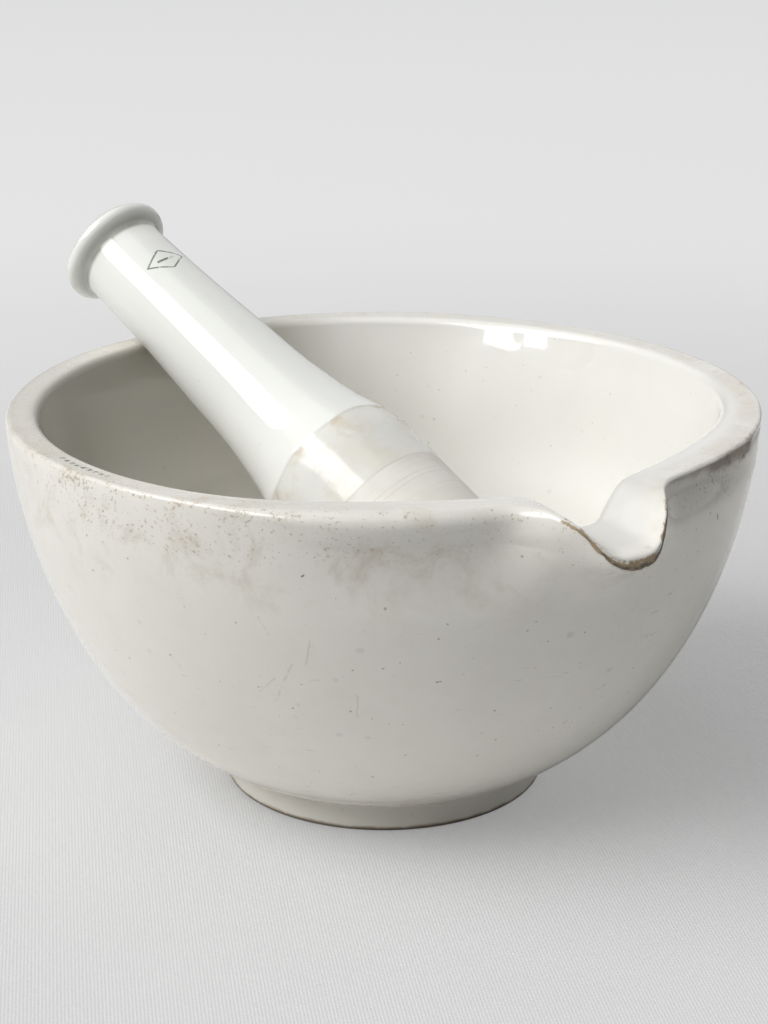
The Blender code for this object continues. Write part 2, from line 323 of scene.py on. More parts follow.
def rim_rows():
    """Over the rim: outer corner, top and inner corner take 1/4, 1/2 and 1/4 of t."""
    t = np.concatenate([np.linspace(0, 0.25, CORNER_ROWS + 1)[1:],
                        np.linspace(0.25, 0.75, RIM_TOP_ROWS + 1)[1:],
                        np.linspace(0.75, 1.0, CORNER_ROWS + 1)[1:]])
    outer = np.radians(np.clip(t / 0.25, 0, 1) * 90)
    inner = np.radians(90 + np.clip((t - 0.75) / 0.25, 0, 1) * 90)
    flat = np.clip((t - 0.25) / 0.5, 0, 1)
    parts = [t < 0.25, t <= 0.75]
    radius = np.select(parts, [RIM_RADIUS - RIM_CORNER + RIM_CORNER * np.cos(outer),
                               RIM_RADIUS - RIM_CORNER
                               + flat * (RIM_INNER_RADIUS + 2 * RIM_CORNER - RIM_RADIUS)],
                       RIM_INNER_RADIUS + RIM_CORNER + RIM_CORNER * np.cos(inner))
    z = np.select(parts, [RIM_EDGE_Z + RIM_CORNER * np.sin(outer), RIM_TOP - RIM_TOP_FALL * flat],
                  RIM_INNER_TOP - RIM_CORNER + RIM_CORNER * np.sin(inner))
    lip = spline_points(LIP_SECTION, t * (len(LIP_SECTION) - 1))
    return profile_rows(np.stack([radius, z], 1), RIM, corner=np.where(t <= 0.25, outer, -1.0),
                        out=lip[:, 0] - radius + (LIP_REACH - LIP_SECTION_REACH) * (1 - t),
                        down=lip[:, 1] - z, width_out=across(LIP_WIDTH_OUT, t),
                        width_down=across(LIP_WIDTH_DOWN, t), power=across(LIP_POWER, t),
                        pinch=across(PINCH, t), lip_pinch=LIP_EXTRA_PINCH * (1 - t),
                        under=np.where(t <= 0.25, 1 - smooth(t / 0.25, 0.0, 0.42), 0.0),
                        pinch_at=across(PINCH_AZIMUTH, t), pinch_width=across(PINCH_WIDTH, t))


def inside_rows():
    mouth = (RIM_INNER_RADIUS, RIM_INNER_TOP - RIM_CORNER)
    cavity = bezier(mouth, CAVITY_WALL_HANDLE, (CAVITY_FLOOR_PULL, CAVITY_FLOOR),
                    (0.0, CAVITY_FLOOR), np.linspace(0, 1, 400))
    points = by_length(cavity, 170)
    points = np.concatenate([points[1:50:2], points[50::4], [cavity[-1]]])
    z = points[:, 1]
    rise = smooth(z, 0.085, mouth[1])
    lip_radius, lip_z = LIP_SECTION[-1]
    return profile_rows(points, INSIDE, out=(lip_radius - mouth[0]) * rise ** 1.3,
                        down=(lip_z - mouth[1]) * rise ** 1.3,
                        width_out=LIP_WIDTH_OUT[1] + 6.0 * (1 - rise),
                        width_down=LIP_WIDTH_DOWN[1] + 6.0 * (1 - rise), power=LIP_POWER[1],
                        pinch=PINCH[1] * smooth(z, 0.070, 0.132),
                        pinch_at=PINCH_AZIMUTH[1], pinch_width=PINCH_WIDTH[1])


def mortar_rows():
    """The whole profile, from under the foot to the cavity's floor, as one-column arrays."""
    wall = bowl_wall(400)[FILLET_SAMPLES:]
    parts = (underside_rows(), foot_rows(wall[0]), outside_rows(wall), rim_rows(), inside_rows())
    return SimpleNamespace(**{key: np.concatenate([part[key] for part in parts])[:, None]
                              for key in parts[0]})


# ------------------------------------------------------------ mortar: form
def crisp_corner(row, azimuth, corner_share):
    """The profile, with the rim's outer corner crisp on the right and less so on the left."""
    crisp = smooth(azimuth, 5.0, 12.0) * (1 - smooth(azimuth, 58.0, 90.0)) \
        + 0.65 * smooth(azimuth, -125.0, -100.0) * (1 - smooth(azimuth, -58.0, -40.0))
    crisp = np.where(row.corner >= 0, 1.0, 0.0) * crisp
    # straight up for the first 0.4 of the corner's rows, then round the small corner
    small = RIM_CRISP_CORNER
    turned = np.clip((corner_share - 0.4) / 0.6, 0, 1) * math.pi / 2
    tight_radius = RIM_RADIUS - small * (1 - np.cos(turned))
    tight_z = RIM_EDGE_Z + (RIM_CORNER - small) * np.clip(corner_share / 0.4, 0, 1) \
        + small * np.sin(turned)
    return between(row.radius, tight_radius, crisp), between(row.z, tight_z, crisp)


def left_shoulder(row, azimuth, corner_share, base_radius, base_z, radius, finger):
    """To the left of the lip: a softer corner over a hollow that ends in a crease."""
    turned = corner_share * math.pi / 2
    soft_radius = RIM_RADIUS - SHOULDER_CORNER * (1 - np.cos(turned)) - SHOULDER_PINCH * finger
    soft_z = RIM_TOP - SHOULDER_CORNER * (1 - np.sin(turned))
    # the straight wall is squeezed to end where the larger corner starts
    wall_z = base_z - (SHOULDER_CORNER - RIM_CORNER) * smooth(base_z, 0.112, RIM_EDGE_Z)
    rise = np.clip((wall_z - SHOULDER_CREASE)
                   / (RIM_TOP - SHOULDER_CORNER - SHOULDER_CREASE), 0, 1)
    hollow = np.where(wall_z > SHOULDER_CREASE, (1 - rise) ** 1.5,
                      smooth(wall_z, 0.100, SHOULDER_CREASE))
    wall_radius = base_radius - (SHOULDER_PINCH * smooth(wall_z, 0.098, 0.126)
                                 + SHOULDER_HOLLOW * hollow) * finger
    left_radius = np.where(row.corner >= 0, soft_radius, wall_radius)
    left_z = np.where(row.corner >= 0, soft_z, wall_z)
    # the rim's top runs evenly from the soft corner to the unchanged inner corner
    top_start = int(np.argmax(row.zone == RIM)) + CORNER_ROWS
    top_end = top_start + RIM_TOP_ROWS
    corner_end = left_radius[top_start - 1]
    share = np.linspace(0, 1, RIM_TOP_ROWS + 1)[1:, None]
    left_radius[top_start:top_end] = corner_end + share * (radius[top_end - 1] - corner_end)
    left_z[top_start:top_end] = base_z[top_start:top_end]
    roll = smooth(azimuth, -50.0, -30.0) * (1 - smooth(azimuth, -11.5, -4.0))
    use = (((row.zone == OUTSIDE) & (row.z > 0.09)) | (row.zone == RIM)) * roll
    use[top_end:] = 0.0
    return between(radius, left_radius, use), between(base_z, left_z, use)


def pinched_body(row, azimuth):
    """Radius and z before the lip is drawn out."""
    softened = np.sqrt(azimuth * azimuth + 2.2 ** 2)
    finger = np.exp(-((softened - row.pinch_at) / row.pinch_width) ** 2)
    right = smooth(azimuth, 5.0, 12.0)
    # the lip itself springs from a wall that is pinched further in
    beside = smooth(azimuth, -11.5, -4.0) * (1 - smooth(azimuth, 6.5, 12.5))
    pinch = (row.pinch + UNDERCUT * row.under * right + row.lip_pinch * beside) * finger
    corner_share = np.clip(row.corner / (math.pi / 2), 0.0, 1.0)
    base_radius, base_z = crisp_corner(row, azimuth, corner_share)
    return left_shoulder(row, azimuth, corner_share, base_radius, base_z,
                         base_radius - pinch, finger)


def mouth_shift(row, turn, azimuth):
    """How far the inside wall moves in: it flares out softly under the rim, except in
    the lip's channel, and leans out more in one uneven place, to catch the light."""
    steps = np.linspace(MOUTH_FOOT_Z, RIM_INNER_TOP, 200)

    def summed(slope):
        return np.cumsum(slope[::-1])[::-1] * (steps[1] - steps[0])

    slope = MOUTH_FLARE * smooth(steps, *MOUTH_FLARE_Z) \
        * (1 - smooth(steps, RIM_INNER_TOP - RIM_CORNER, RIM_INNER_TOP))
    flare = summed(slope) * smooth(steps, MOUTH_FOOT_Z, 0.112)
    flare = np.interp(row.z, steps, flare, left=0.0, right=0.0)
    flare = flare * (1 - np.exp(-np.abs(azimuth / 15.0) ** 3))

    slope = MOUTH_DENT * smooth(steps, 0.1250, 0.1290) \
        * (1 - smooth(steps, RIM_INNER_TOP - 0.8 * RIM_CORNER, RIM_INNER_TOP))
    dent = summed(slope) * smooth(steps, 0.082, 0.118)
    uneven = 0.0016 * waves(turn, 0.0, seed=31, low=14, high=44, count=7)
    dent = np.interp(row.z + uneven * smooth(row.z, 0.136, 0.131), steps, dent,
                     left=0.0, right=0.0)
    dent = dent * np.exp(-np.abs((azimuth - MOUTH_DENT_AZIMUTH) / MOUTH_DENT_WIDTH) ** 4)
    mouth = (row.zone == INSIDE) | ((row.zone == RIM)
                                    & (row.radius < RIM_INNER_RADIUS + RIM_CORNER))
    return (flare + dent) * mouth


def hand_waver(row, turn, azimuth):
    """Offsets in radius and z: the wall wavers a little, but not where the pestle leans."""
    lean = np.exp(-((np.abs(azimuth) - 163.2) / 14.0) ** 2) \
        + np.exp(-((azimuth - 16.8) / 16.0) ** 2)
    calm = 1 - np.clip(lean, 0, 1)
    in_radius = waves(turn, row.z, seed=7, low=2, high=6, count=5) * 0.00022 * calm \
        * smooth(row.z, 0.02, 0.09) * np.where(row.radius > 0.02, 1.0, 0.0)
    in_z = waves(turn, 0.0, seed=11, low=2, high=5, count=4) * 0.00018 * calm \
        * smooth(row.z, 0.11, 0.136)
    return in_radius, in_z


def mortar_attributes(row, azimuth, section):
    """Where things are on the mortar, for its shader."""
    def bump(centre, width):
        return np.exp(-((azimuth - centre) / width) ** 2)

    return {
        "section": section * 1000.0,                       # mm from the rim's corner
        "inside": np.where(row.zone == INSIDE, 1.0,
                           np.where(row.zone == RIM, smooth(section, 0.006, 0.011), 0.0)),
        "lip": smooth(azimuth, -9.5, -6.0) * (1 - smooth(azimuth, 6.5, 9.5)),
        "front": 0.5 + 0.5 * np.cos(np.radians(np.clip(azimuth + 50, -180, 180))),
        "level": row.z * 1000.0,                           # mm above the bench
        "wear": (0.22 + 0.85 * bump(-76, 36.0) + 1.0 * bump(46, 28.0)
                 + 0.35 * np.exp(-((np.abs(azimuth) - 165) / 40.0) ** 2)
                 + 0.20 * bump(90, 30.0)),
        "right": smooth(azimuth, 8.0, 18.0) * (1 - smooth(azimuth, 60.0, 90.0)),
        "turn": azimuth,
        # painted light on the inside's right and back, painted shade on its left and back left
        "painted_light_right": smooth(azimuth, -40.0, 60.0) * (1 - smooth(azimuth, 156.0, 180.0)),
        "painted_shade_left": smooth(-azimuth, 80.0, 118.0) + smooth(azimuth, 156.0, 180.0),
    }


def build_mortar():
    row = mortar_rows()
    turn = np.linspace(-math.pi, math.pi, MORTAR_COLUMNS, endpoint=False)[None, :]
    turn = turn - MORTAR_CROWDING * np.sin(turn)
    azimuth = np.degrees(turn)

    radius, z = pinched_body(row, azimuth)
    radius = radius + row.out * np.exp(-np.abs(azimuth / row.width_out) ** row.power)
    z = z + row.down * np.exp(-np.abs(azimuth / row.width_down) ** row.power)
    radius = radius - mouth_shift(row, turn, azimuth)
    waver_radius, waver_z = hand_waver(row, turn, azimuth)
    radius = radius + waver_radius
    z = z + waver_z

    # distance along the section from the rim's outer corner, down the outside negative
    step = np.hypot(np.diff(radius, axis=0), np.diff(z, axis=0))
    along = np.concatenate([np.zeros((1, step.shape[1])), np.cumsum(step, axis=0)])
    corner = int(np.argmax(row.zone == RIM)) + CORNER_ROWS // 2
    section = along - along[corner]

    # the lip's edge is chipped and worn back
    ragged = (waves(turn, 0.0, seed=3, low=60, high=190, count=14) * 0.00016
              + waves(turn, 40 * row.z, seed=5, low=160, high=420, count=14) * 0.00010)
    bite = smooth(azimuth, -10.0, -6.0) * (1 - smooth(azimuth, 7.0, 10.0)) \
        * np.exp(-((section + 0.0004) / 0.0024) ** 2)
    radius = radius + (ragged - 0.00010) * bite
    z = z + ragged * 0.6 * bite
    return tube_mesh("mortar_body", radius, turn + math.radians(LIP_AZIMUTH), z,
                     mortar_attributes(row, azimuth, section))


# ------------------------------------------------------------------ pestle
# The pestle is turned about its own axis, which starts at the knob's end.
# radius, distance along the axis: the dished face of the knob's end
KNOB_FACE = ((0.0, KNOB_FACE_DISH), (0.0050, KNOB_FACE_DISH), (0.0085, KNOB_FACE_DISH * 0.8),
             (0.0110, KNOB_FACE_DISH * 0.32), (0.0128, 0.00005), (KNOB_FLAT_START, 0.0))
# radius, distance along the axis: round the knob and in to the handle
KNOB_ROUND = ((KNOB_FACE_RADIUS - 0.0006, 0.0), (KNOB_FACE_RADIUS + 0.0005, 0.00022),
              (KNOB_RADIUS - 0.0006, 0.0009), (KNOB_RADIUS - 0.0001, 0.0017),
              (KNOB_RADIUS, 0.0026), (KNOB_RADIUS - 0.00015, 0.0036),
              (KNOB_RADIUS - 0.0007, 0.0047), (KNOB_RADIUS - 0.0017, 0.0056),
              (KNOB_RADIUS - 0.0030, 0.0064), (KNOB_RADIUS - 0.0040, 0.0073),
              (HANDLE_RADIUS_TOP + 0.00035, 0.0085), (HANDLE_RADIUS_TOP + 0.0001, 0.0102),
              (HANDLE_RADIUS_TOP, HANDLE_START))
# distance along the axis, radius: handle and head
SHAFT_STATIONS = ((HANDLE_START, HANDLE_RADIUS_TOP), (0.0390, 0.0179), (0.0715, 0.0199),
                  (0.1040, 0.0223), (0.1235, 0.0255), (0.1345, 0.0284), (0.1430, 0.0295),
                  (0.1520, 0.0293), (0.1625, 0.0290), (0.1885, 0.0285), (0.2150, 0.0284),
                  (HEAD_NOSE_START, HEAD_RADIUS))
# start, end, count: how the shaft's rows are spaced, finest at the two glaze steps
SHAFT_ROWS = ((HANDLE_START, 0.1300, 78), (0.1300, 0.1385, 30), (0.1385, 0.1605, 18),
              (0.1605, 0.1640, 14), (0.1640, HEAD_NOSE_START, 46))


def pestle_profile():
    """Rows (radius, distance along the axis)."""
    face = spline_points(KNOB_FACE, np.linspace(0, len(KNOB_FACE) - 1, 26))
    face[:, 1] = np.clip(face[:, 1], 0, None)
    flat = [(r, 0.0) for r in np.linspace(KNOB_FLAT_START, KNOB_FACE_RADIUS - 0.0006, 8)[1:]]
    knob = spline_points(KNOB_ROUND, np.linspace(0, len(KNOB_ROUND) - 1, 61)[1:])

    along = np.concatenate([np.linspace(*spacing)[1:] for spacing in SHAFT_ROWS])
    radius = spline(*np.transpose(SHAFT_STATIONS), along)
    # the glaze of the handle ends in a soft step, the thin glaze below it in a smaller one
    radius = radius - GLAZE_STEP * smooth(along, GLAZE_END - 0.0002, GLAZE_END + 0.0010) \
        + 0.00010 * np.exp(-((along - GLAZE_END + 0.0006) / 0.0009) ** 2) \
        - HEAD_STEP * smooth(along, HEAD_START - 0.0003, HEAD_START + 0.0004)

    b = np.radians(np.linspace(0, 90, 22))[1:]
    nose = np.stack([(HEAD_RADIUS - GLAZE_STEP - HEAD_STEP) * np.cos(b),
                     HEAD_NOSE_START + (PESTLE_LENGTH - HEAD_NOSE_START) * np.sin(b)], 1)
    return np.concatenate([face, flat, knob, np.stack([radius, along], 1), nose])


def pestle_place():
    """Turns the pestle's own axis down and forwards and sets its knob end in place."""
    azimuth, tilt = math.radians(PESTLE_AZIMUTH), math.radians(PESTLE_TILT)
    down = Vector((math.cos(tilt) * math.cos(azimuth), math.cos(tilt) * math.sin(azimuth),
                   -math.sin(tilt)))
    side = Vector((math.sin(azimuth), -math.cos(azimuth), 0.0))
    rotation = Matrix((side, down.cross(side), down)).transposed()
    return Matrix.Translation((-KNOB_CENTRE_RADIUS * math.cos(azimuth),
                               -KNOB_CENTRE_RADIUS * math.sin(azimuth),
                               KNOB_CENTRE_Z)) @ rotation.to_4x4()


def build_pestle():
    radius, along = pestle_profile().T[:, :, None]
    turn = np.linspace(-math.pi, math.pi, PESTLE_COLUMNS, endpoint=False)[None, :]
    # the glaze line wanders a little round the handle
    wander = waves(turn, 0.0, seed=21, low=2, high=7, count=6) * 0.0004
    z = along + wander * np.exp(-((along - GLAZE_END) / 0.006) ** 2)
    waver = waves(turn, 3 * z, seed=23, low=2, high=5, count=5) * 0.00008
    attributes = {"along": along * 1000.0, "across": radius * 1000.0}
    return tube_mesh("pestle_body", radius + waver * smooth(radius, 0.004, 0.016), turn, z,
                     attributes, pestle_place())


# ------------------------------------------------------------ node helpers
class Net:
    """Short calls for building a shader out of math and texture nodes.

    colour is the surface colour so far; paint() lays the next colour over it."""

    def __init__(self, material, turned=True):
        material.use_nodes = True
        self.tree = material.node_tree
        self.tree.nodes.clear()
        self.colour = None
        if turned:
            self.coords = self.add("ShaderNodeAttribute", attribute_name="turned").outputs["Vector"]
        else:
            self.coords = self.add("ShaderNodeTexCoord").outputs["Object"]

    def add(self, kind, **settings):
        node = self.tree.nodes.new(kind)
        for key, value in settings.items():
            setattr(node, key, value)
        return node

    def put(self, value, socket):
        if isinstance(value, bpy.types.NodeSocket):
            self.tree.links.new(value, socket)
        elif isinstance(value, tuple):
            socket.default_value = (*value, 1.0)[:len(socket.default_value)]
        else:
            socket.default_value = value

    def math(self, operation, a, b=0.0):
        node = self.add("ShaderNodeMath", operation=operation)
        for value, socket in zip((a, b, 0.0), node.inputs):
            self.put(value, socket)
        return node.outputs[0]

    def mul(self, a, *others, amount=None):
        for b in others:
            a = self.math("MULTIPLY", a, b)
        return a if amount is None else self.math("MULTIPLY", a, amount)

    def sum(self, a, *others):
        for b in others:
            a = self.math("ADD", a, b)
        return a

    def sub(self, a, b):
        return self.math("SUBTRACT", a, b)

    def top(self, a, b):
        return self.math("MAXIMUM", a, b)

    def abs(self, a):
        return self.math("ABSOLUTE", a)

    def swing(self, noise, *masks, amount):
        """A noise centred on 0, times amount and the masks."""
        return self.mul(self.sub(noise, 0.5), amount, *masks)

    def ramp(self, value, start, end, first=0.0, last=1.0, soft=True):
        """Goes from first where value is start to last where it is end."""
        node = self.add("ShaderNodeMapRange", interpolation_type="SMOOTHSTEP" if soft else "LINEAR")
        for given, socket in zip((value, start, end, first, last), node.inputs):
            self.put(given, socket)
        return node.outputs[0]

    def bell(self, value, centre, width):
        """exp(-((value-centre)/width)^2)"""
        x = self.math("DIVIDE", self.sub(value, centre), width)
        return self.math("EXPONENT", self.mul(self.mul(x, x), -1.0))

    def attribute(self, name):
        return self.add("ShaderNodeAttribute", attribute_name=name).outputs["Fac"]

    def noise(self, scale, detail=2.0, rough=0.5, at=None, distortion=0.0, output="Fac"):
        node = self.add("ShaderNodeTexNoise", noise_dimensions="3D")
        self.put(at or self.coords, node.inputs["Vector"])
        for key, value in (("Scale", scale), ("Detail", detail), ("Roughness", rough),
                           ("Distortion", distortion)):
            node.inputs[key].default_value = value
        return node.outputs[output]

    def dots(self, scale, small, large, share, at=None):
        """Round spots, small to large in radius, in a share of a Voronoi pattern's cells."""
        node = self.add("ShaderNodeTexVoronoi", voronoi_dimensions="3D", feature="F1")
        self.put(at or self.coords, node.inputs["Vector"])
        node.inputs["Scale"].default_value = scale
        pick = self.add("ShaderNodeSeparateColor")
        self.put(node.outputs["Color"], pick.inputs[0])
        reach = self.ramp(pick.outputs[1], start=0.0, end=1.0,
                          first=small * scale, last=large * scale, soft=False)
        edge = self.math("DIVIDE", node.outputs["Distance"], reach)
        spot = self.ramp(edge, start=1.0, end=0.45)
        return self.mul(spot, self.math("LESS_THAN", pick.outputs[0], share))

    def scaled_coords(self, x, y, z):
        node = self.add("ShaderNodeMapping", vector_type="POINT")
        self.put(self.coords, node.inputs["Vector"])
        node.inputs["Scale"].default_value = (x, y, z)
        return node.outputs[0]

    def split_xy(self):
        node = self.add("ShaderNodeSeparateXYZ")
        self.put(self.coords, node.inputs[0])
        return node.outputs[0], node.outputs[1]

    def mix(self, share, low, high):
        """Colour low where share is 0, high where it is 1."""
        node = self.add("ShaderNodeMix", data_type="RGBA", blend_type="MIX")
        node.clamp_factor = True
        self.put(share, node.inputs[0])
        self.put(low, node.inputs[6])
        self.put(high, node.inputs[7])
        return node.outputs[2]

    def paint(self, mask, rgb, amount=None):
        self.colour = self.mix(self.mul(mask, amount=amount), self.colour, rgb)

    def roughness(self, base, *terms):
        """base plus mask times weight for each (mask, weight), at most 0.85."""
        total = self.sum(base, *[self.mul(mask, weight) for mask, weight in terms])
        return self.math("MINIMUM", total, 0.85)

    def finish(self, rough, height, specular=0.5):
        bsdf = self.add("ShaderNodeBsdfPrincipled")
        bump = self.add("ShaderNodeBump")
        bump.inputs["Strength"].default_value = 1.0
        bump.inputs["Distance"].default_value = 1.0
        self.put(height, bump.inputs["Height"])
        for key, value in (("Base Color", self.colour), ("Roughness", rough), ("IOR", 1.5),
                           ("Specular IOR Level", specular), ("Coat Roughness", 0.05),
                           ("Normal", bump.outputs[0])):
            self.put(value, bsdf.inputs[key])
        out = self.add("ShaderNodeOutputMaterial")
        self.put(bsdf.outputs[0], out.inputs["Surface"])
        return bsdf


def stroke_group():
    """Mask of a short stroke: 1 on the segment From-To, 0 beyond Width from it."""
    group = bpy.data.node_groups.new("stroke", "ShaderNodeTree")
    for names, kind in ((("Point", "From", "Span"), "NodeSocketVector"),
                        (("Per Length", "Width"), "NodeSocketFloat")):
        for name in names:
            group.interface.new_socket(name=name, in_out="INPUT", socket_type=kind)
    group.interface.new_socket(name="Mask", in_out="OUTPUT", socket_type="NodeSocketFloat")
    nodes, link = group.nodes, group.links.new
    given, result = nodes.new("NodeGroupInput"), nodes.new("NodeGroupOutput")

    def operator(kind, operation):
        node = nodes.new(kind)
        node.operation = operation
        return node

    gap, dot, back, rest, size = (operator("ShaderNodeVectorMath", k) for k in
                                  ("SUBTRACT", "DOT_PRODUCT", "SCALE", "SUBTRACT", "LENGTH"))
    link(given.outputs["Point"], gap.inputs[0])
    link(given.outputs["From"], gap.inputs[1])
    link(gap.outputs[0], dot.inputs[0])
    link(given.outputs["Span"], dot.inputs[1])
    share = operator("ShaderNodeMath", "MULTIPLY")
    share.use_clamp = True
    link(dot.outputs["Value"], share.inputs[0])
    link(given.outputs["Per Length"], share.inputs[1])
    link(given.outputs["Span"], back.inputs[0])
    link(share.outputs[0], back.inputs["Scale"])
    link(gap.outputs[0], rest.inputs[0])
    link(back.outputs[0], rest.inputs[1])
    link(rest.outputs[0], size.inputs[0])
    fade = operator("ShaderNodeMath", "DIVIDE")
    link(size.outputs["Value"], fade.inputs[0])
    link(given.outputs["Width"], fade.inputs[1])
    edge = nodes.new("ShaderNodeMapRange")
    edge.interpolation_type = "SMOOTHSTEP"
    for socket, value in zip(edge.inputs[1:5], (1.0, 0.35, 0.0, 1.0)):
        socket.default_value = value
    link(fade.outputs[0], edge.inputs[0])
    link(edge.outputs[0], result.inputs["Mask"])
    return group


STROKE = stroke_group()


def outer_point(azimuth, height):
    """A point on the outside of the bowl: degrees from the lip, mm above the bench."""
    z = height / 1000
    wall = bowl_wall(200)
    radius = float(np.interp(z, wall[:, 1], wall[:, 0]))
    pinch = PINCH[0] * float(smooth(z, *PINCH_Z))
    radius -= pinch * math.exp(-((abs(azimuth) - PINCH_AZIMUTH[0]) / PINCH_WIDTH[0]) ** 2)
    angle = math.radians(azimuth + LIP_AZIMUTH)
    return (radius * math.cos(angle), radius * math.sin(angle), z)


def strokes(net, marks, point):
    """One mask of all the marks (start, end, width) on the outside of the bowl."""
    def stroke(start, end, width):
        start = Vector(outer_point(*start))
        span = Vector(outer_point(*end)) - start
        node = net.add("ShaderNodeGroup", node_tree=STROKE)
        net.put(point, node.inputs["Point"])
        node.inputs["From"].default_value = start
        node.inputs["Span"].default_value = span
        node.inputs["Per Length"].default_value = 1.0 / max(span.length_squared, 1e-12)
        node.inputs["Width"].default_value = width
        return node.outputs["Mask"]

    return reduce(net.top, [stroke(*mark) for mark in marks])


# --------------------------------------------------------- mortar material
# marks on the outside of the bowl; points are (degrees from the lip, mm up)
# start, end, width in metres before narrowing
DARK_MARKS = (((27.3, 118.6), (27.8, 116.9), 0.00085), ((-11.4, 107.4), (-11.4, 107.1), 0.0006),
              ((-12.3, 109.0), (-12.3, 108.8), 0.0005), ((-21.6, 81.2), (-22.2, 81.0), 0.0007),
              ((-40.8, 118.5), (-41.0, 118.2), 0.0008), ((-10.2, 15.5), (-10.6, 15.4), 0.0008),
              ((-15.4, 9.0), (-12.4, 9.1), 0.0007), ((-8.0, 100.4), (-8.6, 100.1), 0.0006))
DARK_NARROWING = 0.68
# point, width in metres
GREY_SPOTS = (((-2.2, 92.8), 0.0017), ((-33.5, 93.4), 0.0016), ((-37.5, 58.8), 0.0013),
              ((-32.8, 58.0), 0.0012), ((8.0, 74.0), 0.0015), ((3.0, 55.0), 0.0013))
GREY_SPOT_SPAN = 0.2        # degrees
# start, end
SCRATCHES = (((-34.0, 76.0), (-34.2, 67.0)), ((-47.3, 70.3), (-43.4, 87.2)),
             ((-41.4, 85.7), (-40.4, 96.3)), ((-47.7, 102.9), (-46.5, 96.8)),
             ((-64.0, 82.0), (-63.0, 78.0)), ((-14.1, 102.1), (-13.4, 107.1)),
             ((-38.5, 120.5), (-36.5, 123.0)), ((-33.0, 122.5), (-31.5, 124.5)),
             ((-30.0, 33.0), (-22.0, 30.0)), ((-46.0, 36.0), (-41.0, 31.0)),
             ((-23.0, 21.0), (-16.0, 19.0)), ((-49.5, 74.0), (-46.5, 80.5)),
             ((-6.0, 40.0), (-2.0, 43.0)), ((12.0, 88.0), (13.5, 82.0)))
SCRATCH_WIDTH = 0.00042
TICK_PITCH = 1.45           # degrees
TICK_ROW_AZIMUTH = -79.5


def shaken_coords(net):
    """Slightly shaken coordinates, so that no small mark is a clean shape."""
    centred = net.add("ShaderNodeVectorMath", operation="SUBTRACT")
    net.put(net.noise(scale=380.0, output="Color"), centred.inputs[0])
    net.put((0.5, 0.5, 0.5), centred.inputs[1])
    wobble = net.add("ShaderNodeVectorMath", operation="SCALE")
    net.put(centred.outputs[0], wobble.inputs[0])
    wobble.inputs["Scale"].default_value = 0.0012
    moved = net.add("ShaderNodeVectorMath", operation="ADD")
    net.put(net.coords, moved.inputs[0])
    net.put(wobble.outputs[0], moved.inputs[1])
    return moved.outputs[0]


def mortar_fields(net):
    """Places and noises that several steps share; the steps add their masks to them."""
    names = ("section", "inside", "lip", "front", "level", "wear", "right", "turn")
    field = SimpleNamespace(**{name: net.attribute(name) for name in names})
    field.outside = net.sub(1.0, field.inside)
    field.shaken = shaken_coords(net)
    field.cloud = net.noise(scale=14.0, detail=3.0, rough=0.55)
    field.grime = net.noise(scale=55.0, detail=6.0, rough=0.68, distortion=0.4)
    field.fleck = net.noise(scale=820.0, detail=3.0, rough=0.62)
    field.patch = net.noise(scale=38.0, detail=3.0, rough=0.6)
    return field


def paint_mortar_glaze(net, field):
    """Warm off-white, a little uneven; inside, painted light on the right and back, painted shade
    on the left, and beige in places.
    """
    inside, level = field.inside, field.level
    net.colour = net.mix(net.ramp(field.cloud, start=0.35, end=0.68),
                         low=(0.760, 0.743, 0.688), high=(0.796, 0.778, 0.722))
    fine = net.noise(scale=120.0, detail=3.0, rough=0.6)
    net.paint(net.ramp(fine, start=0.42, end=0.75, last=0.12), rgb=(0.66, 0.62, 0.54))
    # painted light on the inside's right and back, which face the key light; painted shade on its
    # left wall, darker higher up
    painted_light_right = net.mul(inside, net.attribute("painted_light_right"))
    net.paint(painted_light_right, rgb=(0.835, 0.828, 0.792), amount=0.85)
    painted_shade_left = net.mul(inside, net.attribute("painted_shade_left"),
                   net.ramp(level, start=60.0, end=118.0, first=0.25))
    net.paint(painted_shade_left, rgb=(0.49, 0.475, 0.42), amount=0.86)
    channel = net.mul(inside, net.bell(field.turn, centre=3.0, width=9.5),
                      net.ramp(level, start=108.0, end=122.0))
    net.paint(channel, rgb=(0.66, 0.655, 0.62), amount=0.60)
    tint = net.mul(inside, net.ramp(net.noise(scale=30.0, detail=4.0, rough=0.6),
                                    start=0.40, end=0.72))
    net.paint(tint, rgb=(0.74, 0.67, 0.55), amount=0.10)
    field.low = net.mul(inside, net.ramp(level, start=92.0, end=42.0))
    net.paint(field.low, rgb=(0.70, 0.665, 0.60), amount=0.35)


def paint_mortar_specks(net, field):
    """Soft grey spots under the glaze, then brown specks, more of them outside."""
    spots = net.dots(scale=96.0, small=0.0006, large=0.0014, share=0.60, at=field.shaken)
    net.paint(spots, rgb=(0.33, 0.36, 0.35), amount=0.15)
    strength = net.sum(0.45, net.mul(field.outside, amount=0.55))
    specks = net.dots(scale=175.0, small=0.00025, large=0.00065, share=0.85, at=field.shaken)
    net.paint(net.mul(specks, strength), rgb=(0.33, 0.25, 0.15), amount=0.65)
    pins = net.dots(scale=330.0, small=0.00014, large=0.00034, share=0.30, at=field.shaken)
    net.paint(net.mul(pins, strength), rgb=(0.24, 0.18, 0.12), amount=0.45)


